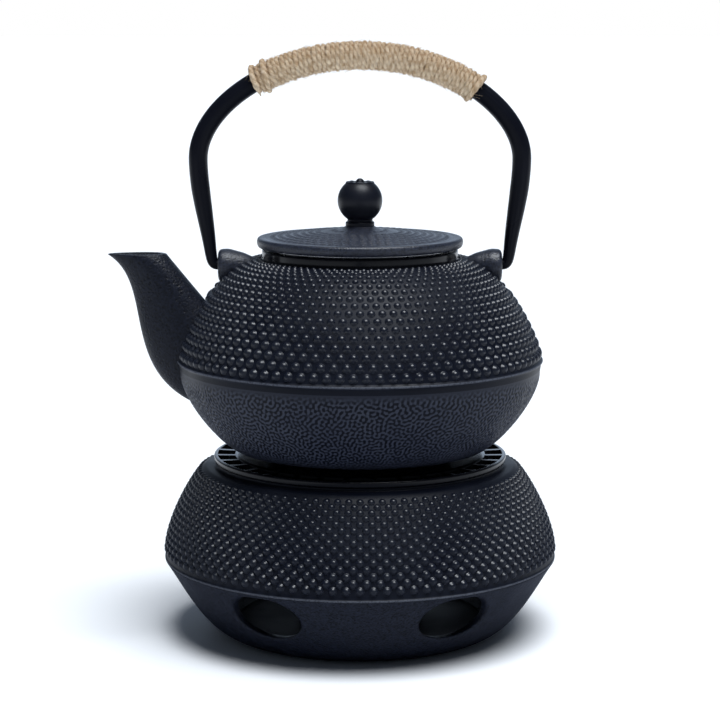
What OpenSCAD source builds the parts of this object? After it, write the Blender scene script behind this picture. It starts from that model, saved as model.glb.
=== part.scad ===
// Hobnail cast iron teapot with a twine-bound bail, standing on its matching candle warmer.
// Origin: centre of the warmer's flat base. +Z up, spout towards -X, ears on the X axis.

/* [Warmer] */
// Radius of the warmer's flat base
warmer_base_r = 60; // [56:1:62]
// Radius of the warmer's widest ring
warmer_ridge_r = 95; // [93:0.5:98]
// Height of the warmer's widest ring
warmer_ridge_z = 36.5; // [35:0.5:40]
// Thickness of the warmer's iron wall
warmer_wall = 4.5; // [3.5:0.5:5.5]
// Number of vent holes round the bowl
vent_count = 6; // [4:1:6]
// Width of each oval vent
vent_w = 35; // [24:1:36]
// Height of each oval vent
vent_h = 22; // [14:1:23]
// Height of the vents' centres
vent_z = 24.5; // [22:0.5:25]

/* [Trivet ring] */
// Outer radius of the ring's lip
trivet_lip_r = 70.6; // [70:0.1:71]
// Height of the ring's supporting face
trivet_seat_z = 86.9; // [86.6:0.1:87.4]
// Radius of the ring's centre hole
trivet_hole_r = 33; // [26:1:38]
// Number of slots round the ring
slot_count = 32; // [20:1:34]

/* [Pot] */
// Radius of the pot's flat base
pot_base_r = 44; // [40:1:48]
// Radius of the pot's widest line
pot_girth_r = 87.8; // [84:0.1:90]
// Height of the pot's widest line
pot_girth_z = 133.3; // [131:0.1:135]
// Height where the shoulder meets the neck
pot_shoulder_z = 181; // [179:0.5:182]
// Thickness of the pot's iron wall
pot_wall = 4; // [3:0.5:5]
// Outer radius of the neck
neck_r = 47; // [46:0.5:48]
// Height of the neck's rim
neck_top_z = 186.2; // [185.5:0.1:187]
// Radius of the mouth
mouth_r = 41; // [40.8:0.1:42]

/* [Ears and bail] */
// Distance of each ear's end face from the centre
ear_face_x = 68; // [67:0.1:69]
// Radius of each ear's end face
ear_r = 8; // [7:0.5:9]
// Height of the hinge line
hinge_z = 178.5; // [178:0.1:179.5]
// Radius of the holes in the ears
ear_bore_r = 2.45; // [2.2:0.05:2.6]
// Running clearance between a hook and its hole
hook_gap = 0.05; // [0.02:0.01:0.1]
// Height of the bail's middle line at its top
bail_top_z = 277.9; // [270:0.1:284]
// Largest half width of the bail's middle line
bail_wide_x = 77.1; // [75:0.1:79]
// Radius of the twine wrap
wrap_r = 6.85; // [6.2:0.05:7.5]

/* [Spout] */
// Height of the spout's mouth
spout_top_z = 183.5; // [180:0.5:186]
// Distance of the pouring lip from the centre
spout_lip_x = 121.2; // [118:0.1:124]
// Half width of the spout across its mouth
spout_mouth_half_w = 6.8; // [6:0.1:8]
// Half width of the spout across its root
spout_root_half_w = 14; // [12:0.5:15]

/* [Lid] */
// Outer radius of the lid
lid_r = 49.3; // [48:0.1:51]
// Height of the lid's underside
lid_z = 187; // [187:0.1:187.5]
// Height of the lid's top at its centre
lid_crown_z = 195; // [194.5:0.1:196]
// Radius of the knob's ball
knob_r = 10.7; // [9:0.1:12]

/* [Tea basket] */
// Outer radius of the basket's collar
collar_r = 40.7; // [40:0.1:40.7]
// Radius of the basket's flange
flange_r = 45.2; // [44:0.1:45.5]
// Height of the basket's bottom
basket_z = 133.4; // [110:0.1:140]
// Thickness of the basket's sheet
sheet = 0.8; // [0.6:0.1:0.9]

/* [Candle] */
// Radius of the tealight's cup
tealight_r = 19.2; // [18.5:0.1:20]
// Height of the tealight's cup
tealight_h = 15; // [12:1:17]
// Radius of the candle tray
tray_r = 29; // [24:1:34]

/* [Hidden] */

$fn = 96;
eps = 0.01;
curve_steps = 12;
arc_steps = 6;

// Colours of the finishes
iron = [0.10, 0.11, 0.14];
dark_iron = [0.05, 0.05, 0.06];
enamel = [0.02, 0.02, 0.03];
steel = [0.75, 0.76, 0.78];
aluminium = [0.82, 0.83, 0.85];
jute = [0.72, 0.58, 0.40];
wax = [0.95, 0.93, 0.88];

// Point at t along a cubic curve with control points c
function cubic(c, t) = pow(1 - t, 3) * c[0] + 3 * pow(1 - t, 2) * t * c[1]
                     + 3 * (1 - t) * t * t * c[2] + pow(t, 3) * c[3];

// Points along a whole cubic curve
function curve(c, n = curve_steps) = [for (i = [0 : n]) cubic(c, i / n)];

// Points along a circular arc from angle a to angle b
function arc(centre, r, a, b, n = arc_steps) =
    [for (i = [0 : n]) centre + r * [cos(a + (b - a) * i / n), sin(a + (b - a) * i / n)]];

// The same line moved by w towards its left-hand side
function inset(pts, w) =
    [for (i = [0 : len(pts) - 1])
        let (d = pts[min(i + 1, len(pts) - 1)] - pts[max(i - 1, 0)])
        pts[i] + w * [-d[1], d[0]] / norm(d)];

// A solid skinned over rings of equal length: rings[i][j] is a point
module skin(rings) {
    n = len(rings[0]);
    m = len(rings);
    sides = [for (i = [0 : m - 2], j = [0 : n - 1])
        [i * n + j, i * n + (j + 1) % n, (i + 1) * n + (j + 1) % n, (i + 1) * n + j]];
    caps = [[for (j = [n - 1 : -1 : 0]) j], [for (j = [0 : n - 1]) (m - 1) * n + j]];
    polyhedron([for (ring = rings) each ring], concat(sides, caps));
}

// ---- Warmer ----
shoulder_r = 76.5;
shoulder_z = 80.3;
neck_ring_r = 69.4;
neck_ring_z = 83.6;
neck_bore_r = 66.4;
groove_r = 71.5;
groove_z = 82.2;
warmer_floor_z = warmer_wall;
floor_web_r = 55;

ridge_h = 2.5;
bowl_line = curve([[warmer_base_r, 0], [warmer_base_r + 16, 0],
                   [warmer_ridge_r - 8.5, warmer_ridge_z - 12.5], [warmer_ridge_r, warmer_ridge_z]]);
dome_line = curve([[warmer_ridge_r - 0.8, warmer_ridge_z + ridge_h],
                   [warmer_ridge_r - 0.8, warmer_ridge_z + ridge_h + 15],
                   [shoulder_r + 4.5, shoulder_z - 4.5], [shoulder_r, shoulder_z]]);
warmer_side = concat(bowl_line, dome_line);

// An oval prism that cuts one vent through the wall
module vent_cutter() {
    cut_from_r = warmer_base_r - 8;
    points = 28;
    oval = [for (i = [0 : points - 1]) [vent_h * cos(360 * i / points), vent_w * sin(360 * i / points)] / 2];
    translate([cut_from_r, 0, vent_z])
        rotate([0, 90, 0])
            linear_extrude(warmer_ridge_r) polygon(oval);
}

module warmer_body() {
    cavity_side = inset(warmer_side, warmer_wall);
    color(iron) difference() {
        rotate_extrude() polygon(concat([[0, 0]], warmer_side,
            [[groove_r, groove_z], [neck_ring_r, groove_z], [neck_ring_r, neck_ring_z], [0, neck_ring_z]]));
        rotate_extrude() polygon(concat([[0, warmer_floor_z]], cavity_side,
            [[neck_bore_r, groove_z - warmer_wall], [neck_bore_r, neck_ring_z + 1], [0, neck_ring_z + 1]]));
        for (i = [0 : vent_count - 1]) rotate([0, 0, i * 360 / vent_count]) vent_cutter();
        translate([0, 0, -1]) cylinder(r = floor_web_r, h = warmer_floor_z + 2);
    }
}

// The flat floor of the same casting, closed across the bowl
module warmer_floor() {
    color(iron) cylinder(r = floor_web_r, h = warmer_floor_z);
}

// ---- Candle ----
tray_sheet = 0.8;
tray_h = 5;
tealight_z = warmer_floor_z + tray_sheet;
cup_sheet = 0.4;
wax_h = 12;
wick_r = 0.8;
wick_h = 9;
tab_r = 6;
tab_t = 0.4;

module candle_tray() {
    color(dark_iron) translate([0, 0, warmer_floor_z]) rotate_extrude()
        polygon([[0, 0], [tray_r - 4, 0], [tray_r, tray_h - tray_sheet], [tray_r + 2, tray_h - tray_sheet],
                 [tray_r + 2, tray_h], [tray_r - 0.6, tray_h], [tray_r - 4.4, tray_sheet], [0, tray_sheet]]);
}

module tealight_cup() {
    color(aluminium) translate([0, 0, tealight_z]) difference() {
        cylinder(r = tealight_r, h = tealight_h);
        translate([0, 0, cup_sheet]) cylinder(r = tealight_r - cup_sheet, h = tealight_h);
    }
}

module tealight_wax() {
    color(wax) translate([0, 0, tealight_z + cup_sheet]) difference() {
        cylinder(r = tealight_r - cup_sheet, h = wax_h);
        translate([0, 0, -eps]) cylinder(r = tab_r, h = tab_t + eps);
        cylinder(r = wick_r, h = wax_h + 1);
    }
}

module tealight_wick() {
    color(wax) translate([0, 0, tealight_z + cup_sheet + tab_t])
        cylinder(r = wick_r, h = wax_h - tab_t + wick_h);
}

module wick_tab() {
    color(steel) translate([0, 0, tealight_z + cup_sheet]) cylinder(r = tab_r, h = tab_t);
}

// ---- Trivet ring ----
plate_r = neck_bore_r - 0.3;
plate_under_z = 80.5;
lip_top_z = 86.6;
slot_in_r = 60.8;
slot_out_r = 68.9;
slot_floor_z = 84;
slot_through_r = 64.6;
slot_arc = 0.74 * 360 / slot_count;

// One slot: open to below near the plate, and a shallow pocket over the warmer's neck
module slot_cutter() {
    rotate([0, 0, -slot_arc / 2]) rotate_extrude(angle = slot_arc)
        polygon([[slot_in_r, plate_under_z - 1], [slot_through_r, plate_under_z - 1],
                 [slot_through_r, slot_floor_z], [slot_out_r, slot_floor_z],
                 [slot_out_r, lip_top_z + 1], [slot_in_r, lip_top_z + 1]]);
}

module trivet_ring() {
    slope_z = trivet_seat_z - 0.9;
    lip_round = 1;
    color(enamel) difference() {
        rotate_extrude() polygon(concat(
            [[trivet_hole_r, plate_under_z], [plate_r, plate_under_z], [plate_r, neck_ring_z]],
            arc([trivet_lip_r - lip_round, neck_ring_z + lip_round], lip_round, -90, 0),
            arc([trivet_lip_r - lip_round, lip_top_z - lip_round], lip_round, 0, 90),
            [[slot_out_r + 0.3, slope_z], [slot_in_r - 0.3, slope_z], [slot_in_r - 1.4, trivet_seat_z]],
            arc([trivet_hole_r + lip_round, trivet_seat_z - lip_round], lip_round, 90, 180)));
        for (i = [0 : slot_count - 1]) rotate([0, 0, (i + 0.5) * 360 / slot_count]) slot_cutter();
    }
}

// ---- Pot ----
band_z = pot_girth_z - 4.6;
foot_h = 2.7;
belly_line = curve([[pot_base_r + 16, trivet_seat_z + 3.4], [pot_base_r + 22, trivet_seat_z + 4.6],
                    [pot_girth_r - 1, band_z - 15], [pot_girth_r - 1, band_z]]);
top_line = curve([[pot_girth_r - 0.9, pot_girth_z + 0.4], [pot_girth_r - 2.3, pot_girth_z + 10.4],
                  [neck_r + 20, pot_shoulder_z + 2], [neck_r, pot_shoulder_z]]);
pot_side = concat(belly_line, [[pot_girth_r, pot_girth_z]], top_line);
neck_round = 1.6;
pot_outline = concat([[0, trivet_seat_z], [pot_base_r, trivet_seat_z],
                      [pot_base_r + 1, trivet_seat_z + foot_h]],
                     pot_side, [[0, pot_shoulder_z]]);

module pot_envelope() {
    rotate_extrude() polygon(pot_outline);
}

module pot_cavity() {
    inner_side = inset(pot_side, pot_wall);
    rotate_extrude() polygon(concat([[0, trivet_seat_z + foot_h + pot_wall]], inner_side,
        [[mouth_r, pot_shoulder_z - pot_wall], [mouth_r, pot_shoulder_z + 1], [0, pot_shoulder_z + 1]]));
}

ear_x0 = 62.5;
ear_tip_x = 51;
ear_tip_r = 3;
ear_z = hinge_z - 0.6;
bore_depth = 9;

module ear() {
    hull() {
        translate([ear_x0, 0, ear_z]) rotate([0, 90, 0])
            cylinder(r = ear_r, h = ear_face_x - ear_x0, $fn = 32);
        translate([ear_tip_x, 0, hinge_z]) sphere(r = ear_tip_r, $fn = 24);
    }
}

module pot_body() {
    color(iron) difference() {
        union() {
            pot_envelope();
            for (side = [0, 180]) rotate([0, 0, side]) ear();
        }
        pot_cavity();
        for (side = [0, 180]) rotate([0, 0, side])
            translate([ear_face_x - bore_depth, 0, hinge_z]) rotate([0, 90, 0])
                cylinder(r = ear_bore_r, h = bore_depth + 4);
        spout_channel();
    }
}

// The smooth collar round the mouth
module pot_neck() {
    color(enamel) rotate_extrude() polygon(concat([[mouth_r, pot_shoulder_z], [neck_r, pot_shoulder_z]],
        arc([neck_r - neck_round, neck_top_z - neck_round], neck_round, 0, 90),
        [[mouth_r, neck_top_z]]));
}

// ---- Spout ----
spout_front = [[-spout_lip_x, spout_top_z], [-96.5, spout_top_z - 15], [-119.7, 123], [-72, 108]];
spout_back = [[-92.8, spout_top_z], [-81.5, 169.5], [-70.5, 156], [-58, 142]];
spout_wall = 3.2;
spout_sides = 24;

// Ring t of the spout: an egg-shaped section from its front line to its back line, shrunk by a wall
function spout_ring(t, wall) =
    let (front = cubic(spout_front, t), back = cubic(spout_back, t),
         along = back - front, mid = (front + back) / 2,
         long = norm(along) / 2 - wall,
         half_w = spout_mouth_half_w + (spout_root_half_w - spout_mouth_half_w) * pow(max(t, 0), 0.7)
                  - 0.8 * wall,
         egg = 0.3 * (1 - max(t, 0)))
    [for (j = [0 : spout_sides - 1])
        let (a = 360 * j / spout_sides, c = cos(a), s = sin(a), p = mid + long * c * along / norm(along))
        [p[0], half_w * s * (1 + egg * c), p[1]]];

module spout_channel() {
    steps = 12;
    skin([for (i = [-1 : steps + 1]) spout_ring(i / steps, spout_wall)]);
}

module spout() {
    steps = 14;
    color(iron) difference() {
        skin([for (i = [0 : steps]) spout_ring(i / steps, 0)]);
        pot_envelope();
        spout_channel();
    }
}

// ---- Tea basket ----
collar_z = 177;
wall_r = collar_r - sheet;
mesh_t = 0.6;
wall_top_z = 182;
hoop_t = 0.5;
hoop_h = 5;
hoop_foot = 4;

module infuser_rim() {
    color(steel) rotate_extrude()
        polygon([[wall_r, collar_z], [collar_r, collar_z], [collar_r, neck_top_z], [flange_r, neck_top_z],
                 [flange_r, neck_top_z + sheet], [wall_r, neck_top_z + sheet]]);
}

module infuser_wall() {
    color(steel) translate([0, 0, basket_z + mesh_t]) difference() {
        cylinder(r = wall_r, h = wall_top_z - basket_z - mesh_t);
        translate([0, 0, -1]) cylinder(r = wall_r - mesh_t, h = wall_top_z);
    }
}

module infuser_floor() {
    color(steel) translate([0, 0, basket_z + mesh_t]) cylinder(r = wall_r - mesh_t, h = mesh_t);
}

module infuser_hoop() {
    foot_r = wall_r - hoop_foot;
    color(steel) rotate_extrude()
        polygon([[foot_r, basket_z], [wall_r + hoop_t, basket_z], [wall_r + hoop_t, basket_z + hoop_h],
                 [wall_r, basket_z + hoop_h], [wall_r, basket_z + mesh_t], [foot_r, basket_z + mesh_t]]);
}

// ---- Lid ----
lid_edge = 2.4;
skirt_r = 37.8;
skirt_in_r = 34.8;
skirt_z = 182.5;
lid_under_z = lid_crown_z - 4.2;
screw_r = 2;
screw_hole_r = 2.2;
seat_r = 8;

module lid_plate() {
    top_curve = curve([[lid_r - 3.6, lid_z + 2 * lid_edge - 0.2], [lid_r - 16, lid_z + 6],
                       [seat_r + 14, lid_crown_z], [seat_r, lid_crown_z]]);
    under_curve = curve([[seat_r, lid_under_z], [seat_r + 12, lid_under_z], [skirt_in_r - 8, lid_z + 2],
                         [skirt_in_r, lid_z + 0.8]]);
    color(iron) rotate_extrude() polygon(concat(
        [[skirt_in_r, skirt_z], [skirt_r, skirt_z], [skirt_r, lid_z]],
        arc([lid_r - lid_edge, lid_z + lid_edge], lid_edge, -90, 90, 10),
        top_curve, [[screw_hole_r, lid_crown_z], [screw_hole_r, lid_under_z]], under_curve));
}

pedestal_r = 7.2;
pedestal_neck_r = 6.1;
pedestal_h = 4.8;
ball_z = lid_crown_z + 14.2;
crown_r = 6.6;
crown_z = ball_z + 8;
screw_top_z = lid_crown_z + 10.5;

module lid_knob() {
    neck_angle = -acos(pedestal_neck_r / knob_r);
    crown_angle = acos(crown_r / knob_r);
    color(iron) difference() {
        rotate_extrude() polygon(concat(
            [[0, lid_crown_z], [pedestal_r, lid_crown_z], [pedestal_r, lid_crown_z + 0.8]],
            [[pedestal_neck_r, lid_crown_z + pedestal_h]],
            arc([0, ball_z], knob_r, neck_angle, crown_angle, 16),
            [[crown_r, crown_z + 0.7], [crown_r - 1, crown_z + 1.2], [1.6, crown_z + 1.2]],
            arc([0, crown_z + 1.2], 1.2, 0, 90, 3)));
        translate([0, 0, lid_crown_z - 1]) cylinder(r = screw_r, h = screw_top_z - lid_crown_z + 1);
    }
}

washer_t = 0.8;
washer_r = 5.5;
head_r = 3.8;
head_h = 2.2;

module knob_washer() {
    color(steel) translate([0, 0, lid_under_z - washer_t]) difference() {
        cylinder(r = washer_r, h = washer_t);
        translate([0, 0, -1]) cylinder(r = screw_hole_r, h = washer_t + 2);
    }
}

module knob_screw() {
    head_z = lid_under_z - washer_t - head_h;
    drive_l = 4.4;
    drive_w = 1.2;
    drive_deep = 1;
    color(steel) difference() {
        union() {
            translate([0, 0, head_z]) cylinder(r = head_r, h = head_h);
            translate([0, 0, head_z]) cylinder(r = screw_r, h = screw_top_z - head_z);
        }
        for (turn = [0, 90]) rotate([0, 0, turn])
            translate([0, 0, head_z]) cube([drive_l, drive_w, 2 * drive_deep], center = true);
    }
}

// ---- Bail ----
hook_r = ear_bore_r - hook_gap;
hook_x = ear_face_x + 0.3;
hook_line = [[hook_x, hinge_z], [hook_x + 2.7, hinge_z], [hook_x + 2.9, hinge_z + 3],
             [hook_x + 3.5, hinge_z + 7.5]];
leg_line = [hook_line[3], [hook_x + 5.2, hinge_z + 22], [bail_wide_x, hinge_z + 37],
            [bail_wide_x, hinge_z + 50.5]];
crown_line = [leg_line[3], [bail_wide_x, hinge_z + 73.5], [bail_wide_x - 33, bail_top_z], [0, bail_top_z]];

// Thickness of the bail seen from the front, by place v: 0 at a hook, 1 leg, 2 widest, 3 top
bail_thickness = [[0, 5], [0.6, 5.4], [1, 5.9], [1.27, 7.3], [1.45, 8.2], [1.65, 8.9], [2.3, 9.2], [3, 9.2]];
// The bail is this much deeper from front to back than it is thick
bail_depth_ratio = 1.12;

// Middle line of one half of the bail
function bail_half(v) =
    v < 1 ? cubic(hook_line, v) : v < 2 ? cubic(leg_line, v - 1) : cubic(crown_line, v - 2);

// Middle line of the whole bail: u runs from 3 at the +X hook over 0 at the top to -3
function bail_at(u) = let (p = bail_half(3 - abs(u))) [u < 0 ? -p[0] : p[0], p[1]];

// Ring of the bail at u; with a radius it is round, else it is the bail's own section plus gap
function bail_ring(u, sides, radius = 0, gap = 0) =
    let (p = bail_at(u), du = 0.002, d = bail_at(max(u - du, -3)) - bail_at(min(u + du, 3)),
         n = [-d[1], d[0]] / norm(d), half = lookup(3 - abs(u), bail_thickness) / 2,
         a = radius > 0 ? radius : half + gap, b = radius > 0 ? radius : bail_depth_ratio * half + gap)
    [for (j = [0 : sides - 1])
        let (q = p + a * cos(360 * j / sides) * n) [q[0], b * sin(360 * j / sides), q[1]]];

bail_sides = 16;
wrap_u = [-0.44, 0.51];
wrap_steps = 22;
wrap_gap = 0.2;

module bail() {
    half_rings = 26;
    color(dark_iron) union() {
        skin([for (i = [-half_rings : half_rings]) bail_ring(-3 * i / half_rings, bail_sides)]);
        for (side = [0, 180]) rotate([0, 0, side])
            translate([ear_face_x - bore_depth + 0.6, 0, hinge_z]) rotate([0, 90, 0])
                cylinder(r = hook_r, h = bore_depth + 0.8);
    }
}

module handle_wrap() {
    place = function (i) wrap_u[1] + (wrap_u[0] - wrap_u[1]) * i / wrap_steps;
    color(jute) difference() {
        skin([for (i = [0 : wrap_steps]) bail_ring(place(i), bail_sides, radius = wrap_r)]);
        skin([for (i = [-1 : wrap_steps + 1]) bail_ring(place(i), bail_sides, gap = wrap_gap)]);
    }
}

warmer_body();
warmer_floor();
candle_tray();
tealight_cup();
tealight_wax();
tealight_wick();
wick_tab();
trivet_ring();
pot_body();
pot_neck();
spout();
infuser_rim();
infuser_wall();
infuser_floor();
infuser_hoop();
lid_plate();
lid_knob();
knob_screw();
knob_washer();
bail();
handle_wrap();
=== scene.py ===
"""Looks of a cast iron teapot on its warmer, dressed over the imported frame.

Sizes are in millimetres, heights are from the floor, and every mesh is put down in metres.
"""

import logging
import math
from collections.abc import Callable, Sequence
from dataclasses import dataclass, field
from enum import Enum
from typing import ClassVar

import bpy
import numpy as np
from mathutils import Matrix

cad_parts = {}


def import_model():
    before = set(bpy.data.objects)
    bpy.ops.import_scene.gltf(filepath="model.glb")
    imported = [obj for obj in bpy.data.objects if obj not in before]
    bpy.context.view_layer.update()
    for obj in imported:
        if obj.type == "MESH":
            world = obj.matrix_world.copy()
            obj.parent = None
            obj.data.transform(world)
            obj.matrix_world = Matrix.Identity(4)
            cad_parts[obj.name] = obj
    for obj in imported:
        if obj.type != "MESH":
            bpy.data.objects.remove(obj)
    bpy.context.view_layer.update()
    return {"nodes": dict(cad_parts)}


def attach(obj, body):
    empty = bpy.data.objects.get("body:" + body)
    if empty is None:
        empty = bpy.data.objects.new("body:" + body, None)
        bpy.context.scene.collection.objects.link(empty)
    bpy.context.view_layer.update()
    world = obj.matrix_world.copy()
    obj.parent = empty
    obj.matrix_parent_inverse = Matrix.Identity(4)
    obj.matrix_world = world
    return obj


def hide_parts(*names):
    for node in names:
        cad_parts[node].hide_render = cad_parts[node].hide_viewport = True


Array = np.ndarray
MM = 0.001
TAU = 2 * math.pi
log = logging.getLogger("teapot")


# ---------------------------------------------------------------- lines and surfaces


def cubic(points: Sequence, count: int) -> Array:
    """Points on a cubic curve: each control point weighted by its Bernstein share.

    Args:
        points: four control points (r, z).
        count: how many points to give.

    Returns:
        An array (count, 2).
    """
    t = np.linspace(0, 1, count)[:, None]
    a, b, c, d = np.asarray(points, float)
    return (1 - t) ** 3 * a + 3 * (1 - t) ** 2 * t * b + 3 * (1 - t) * t**2 * c + t**3 * d


def soften(points: Sequence, radius: float, steps: int = 6) -> Array:
    """Rounds each inner corner of a broken line with a parabola.

    Args:
        points: the corners (r, z).
        radius: how far from a corner its rounding starts, cut to 0.45 of a side.
        steps: points in a rounding.

    Returns:
        The rounded line as an array (n, 2).
    """
    p = np.asarray(points, float)
    out = [p[:1]]
    t = np.linspace(0, 1, steps)[:, None]
    for before, at, after in zip(p[:-2], p[1:-1], p[2:]):
        there, here = before - at, after - at
        start = at + there * min(radius / np.linalg.norm(there), 0.45)
        end = at + here * min(radius / np.linalg.norm(here), 0.45)
        out.append((1 - t) ** 2 * start + 2 * t * (1 - t) * at + t**2 * end)
    return np.vstack(out + [p[-1:]])


def inset(line: Array, depth: float) -> Array:
    """Moves a line that runs upward towards the axis, by depth along its own normal."""
    d = np.gradient(line, axis=0)
    normal = np.stack([-d[:, 1], d[:, 0]], 1) / np.linalg.norm(d, axis=1)[:, None]
    return line + depth * normal


def lengths(line: Array) -> Array:
    """The distance run along a line at each of its points, from 0."""
    return np.concatenate([[0], np.cumsum(np.linalg.norm(np.diff(line, axis=0), axis=1))])


def along(line: Array, at: Array) -> Array:
    """The points of a line at the given distances along it."""
    run = lengths(line)
    return np.stack([np.interp(at, run, column) for column in line.T], -1)


def spokes(sides: int) -> Array:
    """Even angles once round, as a row."""
    return (np.arange(sides) * TAU / sides)[None]


def round_axis(r: Array, turn: Array, z: Array) -> Array:
    """Points from a radius, an angle and a height, which spread to one shape."""
    return np.stack(np.broadcast_arrays(r * np.cos(turn), r * np.sin(turn), z), -1)


def grid_faces(rows: int, columns: int, loop_rows: bool = False, loop_columns: bool = True) -> Array:
    """Four-cornered faces between neighbouring points of a grid.

    Args:
        rows: points down the grid.
        columns: points across it.
        loop_rows: whether the last row joins the first.
        loop_columns: whether the last column joins the first.

    Returns:
        Point numbers as an array (faces, 4).
    """
    i = np.arange(rows if loop_rows else rows - 1)[:, None]
    j = np.arange(columns if loop_columns else columns - 1)[None]
    down, right = (i + 1) % rows, (j + 1) % columns
    corners = (i * columns + j, i * columns + right, down * columns + right, down * columns + j)
    return np.stack(corners, -1).reshape(-1, 4)


@dataclass
class Shell:
    """Points and faces of a surface, in millimetres."""

    points: Array
    faces: list[Array]

    def __add__(self, other: "Shell") -> "Shell":
        """Both surfaces as one."""
        moved = [f + len(self.points) for f in other.faces]
        return Shell(np.vstack([self.points, other.points]), self.faces + moved)

    def outward(self) -> "Shell":
        """Turns the faces round if the volume they enclose comes out negative."""
        middle = self.points.mean(0)
        volume = 0.0
        for faces in self.faces:
            p = self.points[faces] - middle
            for k in range(1, faces.shape[1] - 1):
                volume += np.einsum("ij,ij->i", p[:, 0], np.cross(p[:, k], p[:, k + 1])).sum()
        return self if volume > 0 else Shell(self.points, [f[:, ::-1] for f in self.faces])


def skin(rings: Array, loop: bool = False, start: Array | None = None, end: Array | None = None) -> Shell:
    """A surface through closed rings, its two ends closed by fans unless it loops.

    Args:
        rings: points (rings, sides, 3).
        loop: whether the last ring joins the first.
        start: the middle point of the first end, or None for the ring's own middle.
        end: the same for the last end.

    Returns:
        The closed surface, facing outward.
    """
    count, sides = rings.shape[:2]
    points = rings.reshape(-1, 3)
    faces = [grid_faces(count, sides, loop)]
    if not loop:
        tips = [rings[0].mean(0) if start is None else start, rings[-1].mean(0) if end is None else end]
        j = np.arange(sides)
        nxt, last, low = (j + 1) % sides, (count - 1) * sides, count * sides
        faces.append(np.stack([np.full(sides, low), nxt, j], 1))
        faces.append(np.stack([np.full(sides, low + 1), last + j, last + nxt], 1))
        points = np.vstack([points, tips])
    return Shell(points, faces).outward()


def labyrinth(shape: tuple[int, int], size: tuple[float, float], wave: float, seed: int) -> Array:
    """Winding ridges: white noise kept only in a narrow ring of frequencies, then squeezed to -1..1.

    Args:
        shape: rows and columns of the grid; the columns join up.
        size: the grid's height and width in millimetres.
        wave: the distance from ridge to ridge.
        seed: the noise's seed.

    Returns:
        An array of that shape.
    """
    noise = np.random.default_rng(seed).normal(size=shape)
    down = np.fft.fftfreq(shape[0], size[0] / shape[0])[:, None]
    round_it = np.fft.rfftfreq(shape[1], size[1] / shape[1])[None]
    ring = np.exp(-(((np.hypot(down, round_it) * wave - 1) / 0.2) ** 2))
    waves = np.fft.irfft2(np.fft.rfft2(noise) * ring, s=shape)
    return np.tanh(1.5 * waves / waves.std())


def turned(line: Array, sides: int = 128, relief: Callable | None = None, rows: slice = slice(None),
           swell: Array | None = None) -> Shell:
    """A line (r, z) turned once round the Z axis; it loops unless it starts or ends on the axis.

    Args:
        line: the profile, either closed round its wall or from axis to axis.
        sides: points round the axis.
        relief: an optional height added to z, from radius and angle.
        rows: which of the points off the axis the relief is for.
        swell: an optional distance (points off the axis, sides) added along the line's own normal.

    Returns:
        The closed surface.
    """
    line = np.asarray(line, float)
    on_axis = line[:, 0] < 1e-6
    keep = line[~on_axis]
    angle = spokes(sides)
    r, z = keep[:, :1], np.repeat(keep[:, 1:], sides, 1)
    if relief is not None:
        z[rows] += relief(np.repeat(r, sides, 1)[rows], angle)
    if swell is not None:
        ahead = np.gradient(keep, axis=0)
        ahead /= np.linalg.norm(ahead, axis=1)[:, None]
        r, z = r + swell * ahead[:, 1:], z - swell * ahead[:, :1]
    rings = round_axis(r, angle, z)
    if not on_axis.any():
        return skin(rings, loop=True)
    tips = [np.array([0, 0, tip[1]]) if flag else None for tip, flag in zip(line[[0, -1]], on_axis[[0, -1]])]
    return skin(rings, start=tips[0], end=tips[1])


# ---------------------------------------------------------------- finishes


class NodeBench:
    """Adds nodes to one tree, left to right, and joins or sets their inputs."""

    def __init__(self, tree: bpy.types.NodeTree) -> None:
        """Starts with an empty tree."""
        self.tree = tree
        tree.nodes.clear()

    def add(self, kind: str, inputs: dict | None = None, **settings: object) -> bpy.types.Node:
        """Adds one node.

        Args:
            kind: the node's type, without its "ShaderNode" start.
            inputs: socket name or number to a value, or to a socket to join.
            settings: the node's own properties, set before its inputs.

        Returns:
            The node.
        """
        node = self.tree.nodes.new(kind if kind.startswith("Node") else "ShaderNode" + kind)
        node.location.x = 180 * len(self.tree.nodes)
        for key, value in settings.items():
            setattr(node, key, value)
        for key, value in (inputs or {}).items():
            if isinstance(value, bpy.types.NodeSocket):
                self.tree.links.new(value, node.inputs[key])
            else:
                node.inputs[key].default_value = value
        return node

    def math(self, operation: str, *values: object) -> bpy.types.NodeSocket:
        """The result of a Math node on numbers or sockets."""
        return self.add("Math", dict(enumerate(values)), operation=operation).outputs[0]

    def ramp(self, value: object, low: float, high: float,
             to_low: float = 0.0, to_high: float = 1.0) -> bpy.types.NodeSocket:
        """A smooth step of a value between two limits."""
        names = ("Value", "From Min", "From Max", "To Min", "To Max")
        inputs = dict(zip(names, (value, low, high, to_low, to_high)))
        return self.add("MapRange", inputs, interpolation_type="SMOOTHSTEP").outputs[0]

    def noise(self, where: object, scale: object, detail: float = 2.0,
              distortion: float = 0.0) -> bpy.types.NodeSocket:
        """The value of a noise pattern with that scale per metre."""
        inputs = {"Vector": where, "Scale": scale, "Detail": detail, "Distortion": distortion}
        return self.add("TexNoise", inputs).outputs[0]

    def mix(self, share: object, first: object, second: object) -> bpy.types.NodeSocket:
        """Two colours mixed by a share; the Mix node's colour sockets are its inputs 6 and 7."""
        return self.add("Mix", {0: share, 6: first, 7: second}, data_type="RGBA").outputs[2]

    def attribute(self, name: str, output: str = "Fac") -> bpy.types.NodeSocket:
        """A value kept at the mesh's points."""
        return self.add("Attribute", attribute_name=name).outputs[output]

    def object_place(self) -> bpy.types.NodeSocket:
        """The place on the object."""
        return self.add("TexCoord").outputs["Object"]


class Effect(Enum):
    """The shared shader groups, by the name each is kept under."""

    GRAIN = "cast grain"
    WEAR = "handling wear"


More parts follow.
